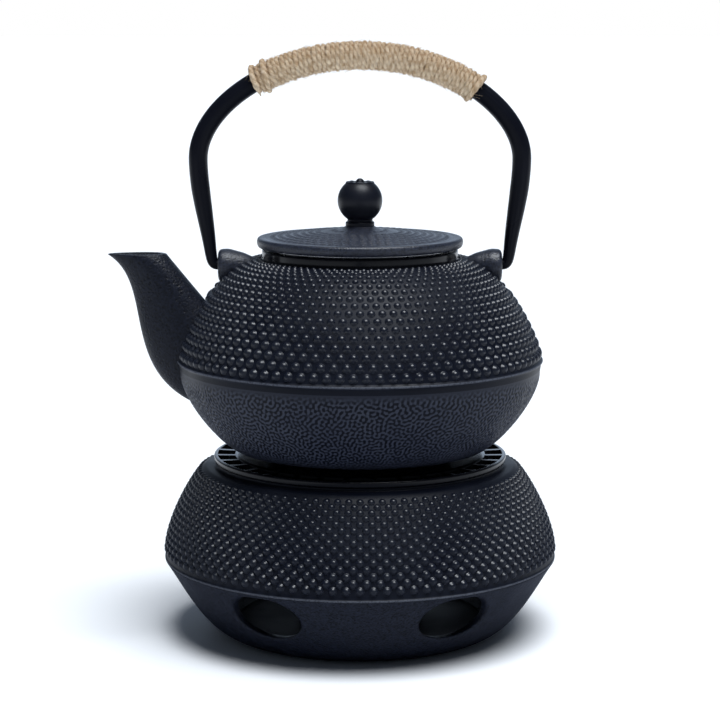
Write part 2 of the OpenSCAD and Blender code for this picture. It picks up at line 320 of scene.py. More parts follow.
def start_group(effect: Effect, inputs: dict[str, float], outputs: Sequence[str]) -> tuple[NodeBench, object]:
    """A new node group with a Vector input, numbers and outputs.

    Args:
        effect: which group it is.
        inputs: names and starting values of its numbers.
        outputs: names of its results.

    Returns:
        The bench and the group's inputs, as its input node's outputs.
    """
    tree = bpy.data.node_groups.new(effect.value, "ShaderNodeTree")
    tree.interface.new_socket("Vector", in_out="INPUT", socket_type="NodeSocketVector")
    for name, value in inputs.items():
        tree.interface.new_socket(name, in_out="INPUT", socket_type="NodeSocketFloat").default_value = value
    for name in outputs:
        tree.interface.new_socket(name, in_out="OUTPUT", socket_type="NodeSocketFloat")
    bench = NodeBench(tree)
    return bench, bench.add("NodeGroupInput").outputs


def grain_group() -> bpy.types.NodeTree:
    """Cast grain: coarse and fine noise added up, less small round pits."""
    bench, given = start_group(Effect.GRAIN, {"Scale": 900.0, "Pits": 0.4}, ("Height", "Mask"))
    where, scale = given["Vector"], given["Scale"]
    coarse = bench.noise(where, scale, 3.0)
    fine = bench.noise(where, bench.math("MULTIPLY", scale, 2.7))
    pit = bench.add("TexVoronoi", {"Vector": where, "Scale": bench.math("MULTIPLY", scale, 0.6)})
    hole = bench.ramp(pit.outputs["Distance"], 0.1, 0.45, -1.0, 0.0)
    height = bench.math("MULTIPLY_ADD", fine, 0.4, coarse)
    height = bench.math("MULTIPLY_ADD", hole, given["Pits"], height)
    bench.add("NodeGroupOutput", {"Height": height, "Mask": bench.ramp(height, 0.4, 1.0)})
    return bench.tree


def wear_group() -> bpy.types.NodeTree:
    """Handling wear: broad soft patches."""
    bench, given = start_group(Effect.WEAR, {"Scale": 25.0}, ("Patches",))
    patches = bench.noise(given["Vector"], given["Scale"], 4.0, 0.3)
    bench.add("NodeGroupOutput", {"Patches": bench.ramp(patches, 0.35, 0.65)})
    return bench.tree


GROUP_MAKERS = {Effect.GRAIN: grain_group, Effect.WEAR: wear_group}


@dataclass(frozen=True)
class Finish:
    """A material: its colours, gloss and surface relief.

    Attributes:
        name: the material's name.
        slot: the record's material slot; not used.
        colour: the main colour.
        second: the colour of its patches.
        roughness: the gloss of clean and of worn places.
        grain: height of the grain in millimetres.
        grain_scale: grains per metre.
        metallic: 1 for bare metal.
        coat: weight of a clear coat.
        coat_roughness: its gloss.
        subsurface: how much light passes under the surface.
        specular: strength of the plain reflection.
        speckle: how much the grain lightens and darkens the colour.
        painted_highlight_heights: heights in millimetres where a thin pale line is painted along an edge as a
            painted highlight.
    """

    name: str
    slot: str
    colour: tuple[float, float, float]
    second: tuple[float, float, float]
    roughness: tuple[float, float] = (0.4, 0.55)
    grain: float = 0.05
    grain_scale: float = 900.0
    metallic: float = 0.0
    coat: float = 0.0
    coat_roughness: float = 0.3
    subsurface: float = 0.0
    specular: float = 0.3
    speckle: float = 0.0
    painted_highlight_heights: tuple[float, ...] = ()

    def effect(self, bench: NodeBench, effect: Effect, where: object, **numbers: float) -> bpy.types.Node:
        """Places one shared group with its own numbers."""
        tree = bpy.data.node_groups.get(effect.value) or GROUP_MAKERS[effect]()
        return bench.add("Group", {"Vector": where, **numbers}, node_tree=tree)

    def where(self, bench: NodeBench) -> object:
        """The coordinates that the patterns follow."""
        return bench.object_place()

    def paint(self, bench: NodeBench, where: object) -> tuple[object, object, list]:
        """The colour, the roughness and the reliefs (height, millimetres)."""
        wear = self.effect(bench, Effect.WEAR, where)
        grain = self.effect(bench, Effect.GRAIN, where, Scale=self.grain_scale)
        colour = bench.mix(wear.outputs["Patches"], (*self.colour, 1), (*self.second, 1))
        rough = bench.ramp(wear.outputs["Patches"], 0.0, 1.0, *self.roughness)
        reliefs = [(grain.outputs["Height"], self.grain)]
        if self.speckle:
            pale = tuple(min(1.0, v * (1 + 2.2 * self.speckle)) for v in self.colour)
            dark = tuple(v * (1 - self.speckle) for v in self.colour)
            colour = bench.mix(0.75, colour, bench.mix(grain.outputs["Mask"], (*dark, 1), (*pale, 1)))
        # Painted highlight: a thin pale line at each given height, broken up by the grain, where a ridge or
        # bead catches the light.
        if self.painted_highlight_heights:
            height = bench.add("SeparateXYZ", {0: where}).outputs["Z"]
            for edge in self.painted_highlight_heights:
                away = bench.math("ABSOLUTE", bench.math("SUBTRACT", height, edge * MM))
                painted_highlight = bench.ramp(away, 0.0002, 0.0007, 0.7, 0.0)
                painted_highlight = bench.math("MULTIPLY", painted_highlight, bench.ramp(grain.outputs["Mask"], 0.0, 0.6, 0.5, 1.0))
                colour = bench.mix(painted_highlight, colour, (0.10, 0.11, 0.14, 1))
        return colour, rough, reliefs

    def material(self) -> bpy.types.Material:
        """Makes the material, or gives the one already made."""
        found = bpy.data.materials.get(self.name)
        if found:
            return found
        made = bpy.data.materials.new(self.name)
        made.use_nodes = True
        bench = NodeBench(made.node_tree)
        colour, rough, reliefs = self.paint(bench, self.where(bench))
        normal = None
        for height, depth in reliefs:
            inputs = {"Height": height, "Distance": depth * MM, "Strength": 1.0}
            if normal is not None:
                inputs["Normal"] = normal
            normal = bench.add("Bump", inputs).outputs[0]
        shader = bench.add("BsdfPrincipled", {
            "Base Color": colour, "Roughness": rough, "Metallic": self.metallic, "Normal": normal,
            "Coat Weight": self.coat, "Coat Roughness": self.coat_roughness,
            "Specular IOR Level": self.specular})
        if self.subsurface:
            shader.inputs["Subsurface Weight"].default_value = self.subsurface
            shader.inputs["Subsurface Scale"].default_value = 0.004
        bench.add("OutputMaterial", {"Surface": shader.outputs[0]})
        return made


@dataclass(frozen=True)
class WormyFinish(Finish):
    """Iron whose modelled ridges keep the plain iron colour, with painted shade darkening the grooves between
    them.
    """

    # The colour of the painted shade in the grooves.
    groove: tuple[float, float, float] = (0.002, 0.003, 0.008)

    def paint(self, bench: NodeBench, where: object) -> tuple[object, object, list]:
        """The plain iron, with painted shade in the grooves taken from the ridge attribute."""
        colour, rough, reliefs = super().paint(bench, where)
        # Painted shade: away from the ridges the colour goes towards the groove colour.
        ridge = bench.ramp(bench.attribute("ridge"), 0.2, 0.85)
        return bench.mix(ridge, (*self.groove, 1), colour), rough, reliefs


@dataclass(frozen=True)
class TwineFinish(Finish):
    """Jute: fibre streaks along the strand, with painted shade down between its plies and on the bail's
    underside.
    """

    def where(self, bench: NodeBench) -> object:
        """Coordinates that run along the strand."""
        return bench.attribute("strand", "Vector")

    def paint(self, bench: NodeBench, where: object) -> tuple[object, object, list]:
        """Streaks along the strand, with painted shade between its plies and on the bail's underside."""
        streak = bench.noise(where, 5.5, 3.0, 0.4)
        patch = bench.noise(bench.object_place(), 420.0, 3.0)
        tone = bench.math("MULTIPLY_ADD", streak, 0.5, bench.math("MULTIPLY", patch, 0.5))
        colour = bench.mix(bench.ramp(tone, 0.38, 0.6), (*self.second, 1), (*self.colour, 1))
        # Painted shade: darker on the underside of the bail and down between the plies.
        under = bench.ramp(bench.attribute("inner"), 0.2, 0.9, 0.0, 0.45)
        groove = bench.ramp(bench.attribute("groove"), 0.1, 0.75, 1.0, 0.0)
        shade = bench.math("MULTIPLY_ADD", groove, 0.35, under)
        colour = bench.mix(shade, colour, (0.24, 0.13, 0.06, 1))
        rough = bench.ramp(streak, 0.3, 0.7, *self.roughness)
        return colour, rough, [(streak, self.grain)]


class Finishes:
    """Every finish of the teapot."""

    dots = Finish("hobnail iron", "cast_iron", (0.0055, 0.0075, 0.0155), (0.008, 0.0105, 0.019),
                  (0.29, 0.36), 0.012, 1500.0, specular=0.5)
    # Its painted highlight heights lay pale lines along the warmer's ridge and the pot's girth bead.
    ground = Finish("hobnail ground", "cast_iron", (0.004, 0.0055, 0.0115), (0.006, 0.008, 0.0155),
                    (0.42, 0.5), 0.03, 1300.0, specular=0.16, painted_highlight_heights=(37.1, 133.0))
    belly = WormyFinish("wormy iron", "cast_iron", (0.032, 0.038, 0.060), (0.041, 0.048, 0.072),
                        (0.4, 0.48), 0.02, 1500.0, specular=0.22)
    sand = Finish("sand cast iron", "cast_iron", (0.0085, 0.0108, 0.0195), (0.0115, 0.0142, 0.024),
                  (0.4, 0.5), 0.22, 1000.0, specular=0.24, speckle=0.6)
    # A lighter, glossier copy of the sand iron: its lighter colour is painted light for the up-facing lid and
    # the tops of the ears.
    lid = Finish("lid iron with painted light", "cast_iron", (0.0135, 0.0165, 0.028), (0.018, 0.0215, 0.035),
                 (0.36, 0.44), 0.16, 1200.0, specular=0.62, speckle=0.6)
    # A darker copy of the sand iron: its darker colour is painted shade on the spout.
    spout = Finish("spout iron with painted shade", "cast_iron", (0.0058, 0.0075, 0.0142), (0.008, 0.01, 0.018),
                   (0.4, 0.5), 0.3, 900.0, specular=0.24, speckle=0.5)
    soot = Finish("sooty iron", "cast_iron", (0.012, 0.0125, 0.017), (0.016, 0.0165, 0.022),
                  (0.6, 0.7), 0.1, 900.0, specular=0.16)
    smooth = Finish("satin iron", "cast_iron", (0.0055, 0.0068, 0.0125), (0.0075, 0.009, 0.016),
                    (0.33, 0.42), 0.02, 900.0)
    enamel = Finish("black enamel", "enamel", (0.002, 0.002, 0.0035), (0.003, 0.003, 0.005),
                    (0.16, 0.24), 0.012, 500.0, coat=0.08, coat_roughness=0.1, specular=0.2)
    bail = Finish("painted steel", "black_steel", (0.0034, 0.004, 0.0078), (0.005, 0.0058, 0.0102),
                  (0.26, 0.36), 0.018, 700.0, specular=0.12)
    steel = Finish("brushed steel", "stainless", (0.62, 0.62, 0.63), (0.54, 0.54, 0.55),
                   (0.24, 0.34), 0.006, 2500.0, metallic=1.0)
    foil = Finish("tealight cup", "aluminium", (0.78, 0.79, 0.80), (0.70, 0.71, 0.72),
                  (0.28, 0.4), 0.01, 1500.0, metallic=1.0)
    wax = Finish("white wax", "wax", (0.86, 0.84, 0.78), (0.82, 0.79, 0.72),
                 (0.4, 0.5), 0.03, 300.0, subsurface=0.3)
    wick = Finish("cotton wick", "wick", (0.72, 0.69, 0.60), (0.55, 0.52, 0.44),
                  (0.8, 0.9), 0.08, 2500.0)
    twine = TwineFinish("jute twine", "jute", (0.93, 0.78, 0.58), (0.55, 0.38, 0.22), (0.8, 0.92), 0.16)


# ---------------------------------------------------------------- putting pieces down


def place(name: str, shell: Shell, body: str, finish: Finish, replaces: Sequence[str] = (),
          crease: float = 42.0, **attributes: Array) -> bpy.types.Object:
    """Puts a surface into the scene as one piece.

    Args:
        name: the piece's name.
        shell: its points and faces.
        body: the body it rides on.
        finish: its material.
        replaces: the frame's nodes it stands for.
        crease: the angle, in degrees, above which an edge stays sharp.
        attributes: values at the points, as numbers or 3-vectors.

    Returns:
        The object.
    """
    mesh = bpy.data.meshes.new(name)
    mesh.vertices.add(len(shell.points))
    mesh.vertices.foreach_set("co", (shell.points * MM).astype(np.float32).ravel())
    sizes = np.concatenate([np.full(len(f), f.shape[1]) for f in shell.faces])
    mesh.loops.add(int(sizes.sum()))
    mesh.loops.foreach_set("vertex_index", np.concatenate([f.ravel() for f in shell.faces]).astype(np.int32))
    mesh.polygons.add(len(sizes))
    mesh.polygons.foreach_set("loop_start", (np.cumsum(sizes) - sizes).astype(np.int32))
    mesh.update(calc_edges=True)
    mesh.validate()
    for key, values in attributes.items():
        kind, part = ("FLOAT_VECTOR", "vector") if values.ndim == 2 else ("FLOAT", "value")
        mesh.attributes.new(key, kind, "POINT").data.foreach_set(part, values.astype(np.float32).ravel())
    mesh.shade_smooth()
    mesh.set_sharp_from_angle(angle=math.radians(crease))
    mesh.materials.append(finish.material())
    piece = bpy.data.objects.new(name, mesh)
    bpy.context.scene.collection.objects.link(piece)
    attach(piece, body)
    if replaces:
        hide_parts(*replaces)
    log.info("%s: %d faces on %s", name, len(sizes), body)
    return piece


@dataclass(frozen=True)
class Hobnails:
    """Rows of small round domes on a turned surface, each row half a step round from the last.

    Attributes:
        count: domes in a row.
        rows: rows up the surface.
        margin: the first and last row's distance from the line's ends, as shares of a row.
        width: a dome's radius as a share of the step between domes.
        height: its height as a share of the same step.
        bell: a dome's outline as shares of its radius and of its height, from the top down.
        sides: points round a dome.
    """

    bell: ClassVar[Sequence] = [(0.3, 0.955), (0.58, 0.82), (0.82, 0.55), (0.98, 0.19), (1.22, -0.1)]
    sides: ClassVar[int] = 12

    count: int
    rows: int
    margin: tuple[float, float] = (0.6, 0.5)
    width: float = 0.36
    height: float = 0.2

    def shell(self, line: Array, keep: Callable[[Array], Array]) -> Shell:
        """Builds the domes.

        The rows are evenly spaced in the run of length over radius, so that the pattern keeps its
        proportions as the surface narrows. A dome's foot is sunk just under the surface.

        Args:
            line: the surface's profile (r, z), from the bottom up.
            keep: tells which dome middles (n, 3) stay.

        Returns:
            All the domes as one surface.
        """
        run = lengths(line)
        radius = (line[1:, 0] + line[:-1, 0]) / 2
        even = np.concatenate([[0], np.cumsum(np.diff(run) / radius)])
        step = even[-1] / (self.rows - 1 + sum(self.margin))
        wanted = step * (self.margin[0] + np.arange(self.rows))
        at = np.interp(wanted, even, run)
        middle, ahead = along(line, at), along(line, at + 0.5) - along(line, at - 0.5)
        up = ahead / np.linalg.norm(ahead, axis=1)[:, None]
        turn = (np.arange(self.count)[None] + 0.5 * (np.arange(self.rows)[:, None] % 2)) * TAU / self.count
        cos, sin = np.cos(turn)[..., None], np.sin(turn)[..., None]
        flat = np.zeros_like(cos)
        r, z, ur, uz = (v[:, None, None] for v in (*middle.T, *up.T))
        centre = np.concatenate([r * cos, r * sin, z + flat], -1)
        climb = np.concatenate([ur * cos, ur * sin, uz + flat], -1)
        out = np.concatenate([uz * cos, uz * sin, -ur + flat], -1)
        side = np.concatenate([-sin, cos, flat], -1)
        pitch = np.broadcast_to(r * TAU / self.count, cos.shape)
        stay = keep(centre.reshape(-1, 3))
        centre, climb, out, side = (v.reshape(-1, 1, 1, 3)[stay] for v in (centre, climb, out, side))
        pitch = pitch.reshape(-1, 1, 1, 1)[stay]
        share, rise = (np.array(column)[None, :, None, None] for column in zip(*self.bell))
        spin = spokes(self.sides)[:, None, :, None]
        wide, tall = self.width * pitch, self.height * pitch
        dome = centre + wide * share * (np.cos(spin) * side + np.sin(spin) * climb) + tall * rise * out
        tips = (centre + tall * out).reshape(-1, 3)
        number, rings, sides = len(tips), len(self.bell), self.sides
        base = (np.arange(number) * rings * sides)[:, None, None]
        quads = (base + grid_faces(rings, sides)[None]).reshape(-1, 4)
        j = np.arange(sides)
        fan = np.stack([np.zeros(sides, int), j, (j + 1) % sides], 1)[None] + base
        fan[..., 0] = number * rings * sides + np.arange(number)[:, None]
        points = np.vstack([dome.reshape(-1, 3), tips])
        return Shell(points, [quads[:, ::-1], fan.reshape(-1, 3)])


# ---------------------------------------------------------------- the warmer


@dataclass
class Warmer:
    """The cast iron stand: vented bowl, dotted dome and neck ring.

    Attributes:
        wall: the iron's thickness.
        vents: how many there are.
        vent: a vent's half width, half height and the height of its middle.
        nails: the dots.
    """

    wall: float = 4.5
    vents: int = 6
    vent: tuple[float, float, float] = (17.5, 11.0, 24.5)
    nails: Hobnails = field(default_factory=lambda: Hobnails(96, 15, (0.8, 0.7), 0.3, 0.22))

    def bowl_line(self) -> Array:
        """The bowl's outer profile, from the base to under the ridge."""
        return cubic([(60, 0), (76, 0), (86.5, 24), (95, 36.5)], 90)

    def dome_line(self) -> Array:
        """The dome's outer profile, from the ridge to the shoulder."""
        return cubic([(94.2, 39), (94.2, 54), (81, 75.8), (76.5, 80.3)], 90)

    def upper(self) -> Shell:
        """Dome, ridge, shoulder band, groove and neck ring, with the wall behind them."""
        dome = self.dome_line()
        ridge = soften([(91.2, 35.9), (94.9, 36.5), (95.2, 37.2), (94.5, 37.9), (94.2, 39.2)], 0.45)
        head = soften([(76.5, 80.3), (74.8, 81.6), (71.9, 82.0), (70.0, 81.9), (69.4, 82.6), (69.4, 83.6),
                       (66.4, 83.6), (66.4, 77.7), (70.5, 75.4)], 0.7)
        inner = inset(dome, self.wall)[::-1]
        return turned(np.vstack([ridge, dome[2:-1], head, inner[6:], [(89.5, 37.5)]]), 256)

    def floor(self) -> Shell:
        """The flat floor, closed under and over."""
        line = [(0, 0.9), (52, 0.9), (53.5, 0), (60.5, 0), (63.5, 0.9), (60, 4.2), (54, 4.5), (0, 4.5)]
        return turned(soften(line, 1.2), 160)

    def bowl(self) -> Shell:
        """The bowl's wall with its oval vents.

        Each vent owns a sector. Round the vent, a point's rays run from the sector's edge over the
        outer face to the oval, round a soft lip, straight through the wall, round an inner lip and
        out again over the inner face. In between, places are mixed in angle and profile share.
        """
        outer = self.bowl_line()
        inner = inset(outer, self.wall)
        share = np.linspace(0, 1, len(outer))
        half = math.pi / self.vents
        wide, high, middle = self.vent
        even = np.linspace(-1, 1, 30, endpoint=False)
        one = np.ones_like(even)
        square = np.stack([np.r_[even, one, -even, -one], np.r_[-one, even, one, -even]], 1)
        spin = np.arctan2(square[:, 1], square[:, 0])

        def at(line: Array, turn: Array, v: Array) -> Array:
            """The point of a turned line at an angle and a profile share."""
            r, z = (np.interp(v, share, column) for column in line.T)
            return round_axis(r, turn, z)

        def oval(line: Array, grow: float) -> tuple[Array, Array]:
            """The vent's outline on a face, grown outward: its angle and profile share."""
            x = (wide + grow) * np.cos(spin)
            z = middle + (high + grow) * np.sin(spin)
            v = np.minimum(np.interp(z, line[:, 1], share), 0.975)
            return np.arcsin(x / np.interp(v, share, line[:, 0])), v

        def face(line: Array, grow: float) -> Array:
            """Rows from the sector's edge to the grown outline."""
            turn, v = oval(line, grow)
            mix = (np.linspace(0, 1, 16) ** 0.7)[:, None]
            edge_v = (square[:, 1] + 1) / 2
            return at(line, (1 - mix) * square[:, 0] * half + mix * turn, (1 - mix) * edge_v + mix * v)

        def lip(line: Array, grow: float, inward: float) -> Array:
            """A parabola from the grown outline, round the sharp edge, into the hole."""
            t = np.linspace(0, 1, 7)[:, None, None]
            start, sharp = at(line, *oval(line, grow)), at(line, *oval(line, 0.0))
            end = sharp + np.array([inward, 0, 0])
            return (1 - t) ** 2 * start + 2 * t * (1 - t) * sharp + t**2 * end

        front, back = lip(outer, 2.6, -1.9), lip(inner, 1.6, 1.1)[::-1]
        rows = np.concatenate([face(outer, 2.6), front[1:], back[:-1], face(inner, 1.6)[::-1]])
        first = Shell(rows.reshape(-1, 3), [grid_faces(*rows.shape[:2])])
        whole = None
        for k in range(self.vents):
            cos, sin = math.cos(k * 2 * half), math.sin(k * 2 * half)
            turn = np.array([[cos, sin, 0], [-sin, cos, 0], [0, 0, 1]])
            part = Shell(first.points @ turn, list(first.faces))
            whole = part if whole is None else whole + part
        return whole.outward()

    def build(self) -> None:
        """Puts down the shell, the bowl, the floor and the dots."""
        place("warmer_dome", self.upper(), "warmer", Finishes.ground, ["warmer_body"])
        place("warmer_bowl", self.bowl(), "warmer", Finishes.sand)
        place("warmer_base", self.floor(), "warmer", Finishes.soot, ["warmer_floor"])
        domes = self.nails.shell(self.dome_line(), lambda p: np.ones(len(p), bool))
        place("warmer_hobnails", domes, "warmer", Finishes.dots, crease=180)


@dataclass
class Candle:
    """The tray and the tealight on it."""

    def build(self) -> None:
        """Puts down tray, cup, wax, wick and its foot."""
        tray = soften([(0, 5.3), (28.2, 5.3), (30.8, 6.9), (31.0, 8.9), (31.0, 9.5), (30.4, 9.3),
                       (30.0, 7.2), (27.4, 4.55), (0, 4.55)], 0.9)
        place("candle_dish", turned(tray), "tray", Finishes.enamel, ["candle_tray"])
        cup = soften([(0, 5.32), (18.6, 5.32), (19.1, 6.2), (19.0, 19.6), (19.5, 20.3), (18.7, 20.3),
                      (18.7, 6.3), (18.2, 5.72), (0, 5.72)], 0.5)
        place("tealight_foil", turned(cup), "tealight", Finishes.foil, ["tealight_cup"])
        wax = soften([(0, 5.75), (18.5, 5.75), (18.65, 18.2), (17.6, 17.5), (2.6, 17.3), (1.1, 17.9),
                      (0, 17.9)], 0.6)
        place("tealight_candle", turned(wax, 96), "tealight", Finishes.wax, ["tealight_wax", "wick_tab"])
        place("tealight_string", self.wick(), "tealight", Finishes.wick, ["tealight_wick"])

    def wick(self) -> Shell:
        """A round string of three lobes that turn as it climbs, its top leaning a little."""
        z, a = np.linspace(6.5, 26.6, 48)[:, None], spokes(24)
        r = 0.72 + 0.1 * np.cos(3 * a - z * 2.2)
        lean = 0.9 * np.clip((z - 19) / 7, 0, 1) ** 2
        return skin(np.stack([lean + r * np.cos(a), r * np.sin(a), z + 0 * a], -1))


@dataclass
class Trivet:
    """The ring between warmer and pot: glossy lip, seat and slots between ribs.

    Attributes:
        slots: how many there are.
        slot_r: the radius of their middle, and half their length.
        depth: how deep they are outside, and how much more inside.
    """

    slots: int = 32
    slot_r: tuple[float, float] = (64.85, 4.2)
    depth: tuple[float, float] = (2.3, 2.4)

    def top(self, r: Array, turn: Array) -> Array:
        """The slots as a height under the seat: between thin round ribs, with round ends."""
        pitch = TAU / self.slots
        across = np.abs((turn + pitch / 2) / pitch % 1 - 0.5) * 2
        between = np.clip((0.8 - across) / 0.24, 0, 1)
        length = np.clip((1 - np.abs(r - self.slot_r[0]) / self.slot_r[1]) / 0.22, 0, 1)
        inside = np.sin(between * math.pi / 2) * np.sin(length * math.pi / 2)
        deep = np.clip((65.2 - r) / 0.8, 0, 1)
        return -inside * (self.depth[0] + self.depth[1] * deep)

    def build(self) -> None:
        """Puts down the ring as one turned piece: few points on its flat part, many over the slots."""
        seat = soften([(34, 86.9), (59.4, 86.9), (60.4, 86.5), (69.3, 86.75)], 0.6, 4)
        flat, end = 24.5, lengths(seat)[-1]
        fine = along(seat, np.concatenate([np.linspace(0, flat, 6)[:-1], np.linspace(flat, end, 84)]))
        lip = soften([(69.4, 86.75), (69.9, 86.75), (70.75, 86.5), (70.8, 85.4), (70.6, 83.75), (66.2, 83.75),
                      (66.1, 80.5), (33.2, 80.5), (32.9, 82), (32.9, 86.2), (33.9, 86.9)], 0.6)
        ring = turned(np.vstack([fine, lip]), self.slots * 20, self.top, slice(len(fine)))
        place("trivet_casting", ring, "trivet", Finishes.enamel, ["trivet_ring"], crease=60)


# ---------------------------------------------------------------- the pot


@dataclass
class Pot:
    """The cast pot: belly, dotted shoulder, neck, ears and spout.

    Attributes:
        wall: the iron's thickness.
        hinge_z: the height of the ears' bores.
        ridge_wave: the belly's ridges' distance apart.
        ridge_height: how far they stand out, and their grooves in.
        seed: the ridges' seed.
        nails: the dots.
    """

    wall: float = 4.0
    hinge_z: float = 178.5
    ridge_wave: float = 2.15
    ridge_height: float = 0.19
    seed: int = 3
    nails: Hobnails = field(default_factory=lambda: Hobnails(90, 17, (0.65, 0.6), 0.335, 0.235))

    def belly_line(self) -> Array:
        """Outer profile from the foot to the girth band."""
        return cubic([(60, 90.3), (66, 91.5), (86.8, 113.7), (86.8, 128.7)], 60)

    def top_line(self) -> Array:
        """Outer profile from the girth to the neck."""
        return cubic([(86.9, 133.7), (85.5, 143.7), (67, 183), (47, 181)], 90)

    def lower(self) -> tuple[Shell, Array]:
        """Belly and foot with the inside of the pot behind them.

        The belly's ridges fade out towards the foot and under the girth.

        Returns:
            The shell, and how much of a ridge each of its points is, from 0 to 1.
        """
        sides, rows, mean_r = 840, 78, 82
        belly = self.belly_line()
        height = lengths(belly)[-1]
        share = np.linspace(0, 1, rows)
        foot = [(0, 88.2), (38, 88.2), (40, 86.9), (43.5, 86.9), (44.6, 89.5), (60, 90.3)]
        foot = soften(foot, 1.0, 3)[:-1]
        brim = [(86.95, 129.2), (87.0, 131.0), (84, 131.0)]
        inner = along(inset(belly, self.wall), np.linspace(0, 1, 10) * height)[::-1]
        line = np.vstack([foot, along(belly, share * height), brim, inner, [(45, 94.2), (0, 93.8)]])
        ridges = labyrinth((rows, sides), (height, TAU * mean_r), self.ridge_wave, self.seed)
        fade = np.clip(share / 0.25, 0, 1) * np.clip((1 - share) / 0.1, 0, 1)
        field_of = np.zeros((len(line) - 2, sides))
        first = len(foot) - 1
        field_of[first : first + rows] = ridges * fade[:, None]
        values = np.concatenate([((field_of + 1) / 2).ravel(), [0.5, 0.5]])
        return turned(line, sides, swell=self.ridge_height * field_of), values

    def upper(self) -> Shell:
        """Girth band and bead, shoulder, neck and mouth with the inside behind them."""
        band = [(86.7, 128.4), (87.0, 129.4), (87.3, 131.9), (88.1, 132.7), (88.1, 133.3), (87.0, 134.0)]
        top = self.top_line()
        neck = [(48.0, 181.2), (46.0, 181.3), (42, 181.2), (41.2, 180.6), (41.2, 177.4), (47, 177)]
        inner = inset(top, self.wall)[::-1]
        line = [soften(band, 0.6), top[2:-2], soften(neck, 0.5), inner[8:], [(83, 131), (83, 128.4)]]
        return turned(np.vstack(line), 256)

    def collar(self) -> Shell:
        """The glossy neck ring round the mouth, its foot let into the shoulder."""
        line = [(41, 186.2), (47, 186.2), (47, 182.4), (47.3, 181.6), (47.4, 180.4), (41, 180.4), (41, 186.2)]
        return turned(soften(line, 1.1)[:-1], 192)

    def ear(self, side: int) -> Shell:
        """One lug for the bail: rings along X, from its bored end face to its tail in the shoulder.

        Each ring is a circle whose radius follows the lug's outline, and its middle sinks from the
        bore's height towards the lug's own middle as the radius grows.
        """
        outline = soften([(59.2, 2.45), (67.4, 2.45), (68.0, 3.1), (68.0, 6.6), (66.8, 8.0), (63.0, 8.2),
                          (56.0, 6.3), (50.5, 3.4), (47.0, 1.4)], 1.3)
        x, r, a = outline[:, :1], outline[:, 1:], spokes(48)
        drop = 0.6 * np.clip((r - 2.6) / 4, 0, 1)
        rings = np.stack([side * x + 0 * a, r * np.cos(a) * side, self.hinge_z - drop + r * np.sin(a)], -1)
        return skin(rings)

    def clear(self, points: Array) -> Array:
        """Which dots stand clear of the spout's root and the ears."""
        x, y, z = points.T
        front, back = cubic(Spout.front, 60), cubic(Spout.back, 60)
        near = np.ones(len(points), bool)
        for t in np.linspace(0.35, 1.0, 27):
            a, b = front[int(t * 59)], back[int(t * 59)]
            middle, reach = (a + b) / 2, np.linalg.norm(b - a) / 2
            axis = (b - a) / (2 * reach)
            half = Spout.half_width(np.array(t)) + 1.7
            d = np.stack([x - middle[0], z - middle[1]], 1)
            lengthwise, across = d @ axis, d @ np.array([-axis[1], axis[0]])
            near &= ~(((lengthwise / (reach + 1.7)) ** 2 + (y / half) ** 2 < 1) & (np.abs(across) < 4))
        ear_x = np.abs(x)
        radius = np.interp(ear_x, [46.5, 50.5, 55.5, 62, 67], [1.5, 3.6, 6.2, 8.6, 8.6])
        on_ear = (ear_x > 46.5) & (ear_x < 70) & (np.abs(y) < radius)
        return near & ~on_ear

    def build(self) -> None:
        """Puts down the shells, the dots, the ears and the spout."""
        belly, ridge = self.lower()
        place("pot_belly", belly, "pot", Finishes.belly, ["pot_body"], ridge=ridge)
        place("pot_shoulder", self.upper(), "pot", Finishes.ground)
        place("pot_collar", self.collar(), "pot", Finishes.enamel, ["pot_neck"])
        place("pot_hobnails", self.nails.shell(self.top_line(), self.clear), "pot", Finishes.dots, crease=180)
        for side, name in ((1, "ear_right"), (-1, "ear_left")):
            # The ears take the lid's finish, whose lighter colour is painted light on their tops.
            place(name, self.ear(side), "pot", Finishes.lid, crease=50)
        place("pot_spout", Spout().shell(), "pot", Finishes.spout, ["spout"])


@dataclass
class Spout:
    """The pouring spout: an egg-shaped tube from the pot's side to a flat pointed mouth.

    Attributes:
        front: control points (x, z) of its front edge, from the mouth to the root.
        back: the same for its back edge.
        wall: the iron's thickness.
    """

    front: ClassVar[Sequence] = [(-121.2, 183.5), (-96.5, 168.5), (-119.7, 123), (-72, 108)]
    back: ClassVar[Sequence] = [(-92.8, 183.5), (-81.5, 169.5), (-70.5, 156), (-58, 142)]
    wall: float = 3.0

    @staticmethod
    def half_width(t: Array) -> Array:
        """Half the tube's width across, from its mouth (0) to its root (1)."""
        return 6.8 + 7.2 * np.clip(t, 0, 1) ** 0.7

    def rings(self, t: Array, wall: Array, lift: Array) -> Array:
        """Egg-shaped rings: an oval from the front line to the back line, narrower to the front.

        Args:
            t: places along the tube, one for each ring.
            wall: how far each ring stands in from the outside.
            lift: how far each ring is raised.

        Returns:
            Points (rings, 72, 3).
        """
        run = np.linspace(0, 1, 400)
        front, back = (np.stack([np.interp(t, run, column) for column in cubic(points, 400).T], -1)
                       for points in (self.front, self.back))
        span = back - front
        reach = np.linalg.norm(span, axis=1)
        cos, sin = np.cos(spokes(72)), np.sin(spokes(72))
        middle = (front + back) / 2
        long = (reach / 2 - wall)[:, None] * cos / reach[:, None]
        wide = (self.half_width(t) - wall)[:, None] * (1 + 0.3 * (1 - np.clip(t, 0, 1))[:, None] * cos)
        x, z = (middle[:, k : k + 1] + long * span[:, k : k + 1] for k in (0, 1))
        return np.stack([x, wide * sin, z + lift[:, None]], -1)

    def shell(self) -> Shell:
        """Outside from root to lip, over the rounded rim, and back down the channel."""
        body = np.linspace(1, 0.012, 64)
        rim = np.linspace(0, math.pi, 9)
        t = np.concatenate([body, np.full(9, 0.004), body[::-1]])
        wall = np.concatenate([np.zeros(64), (1 - np.cos(rim)) * self.wall / 2, np.full(64, self.wall)])
        lift = np.concatenate([np.zeros(64), np.sin(rim) * 0.5, np.zeros(64)])
        return skin(self.rings(t, wall, lift), loop=True)


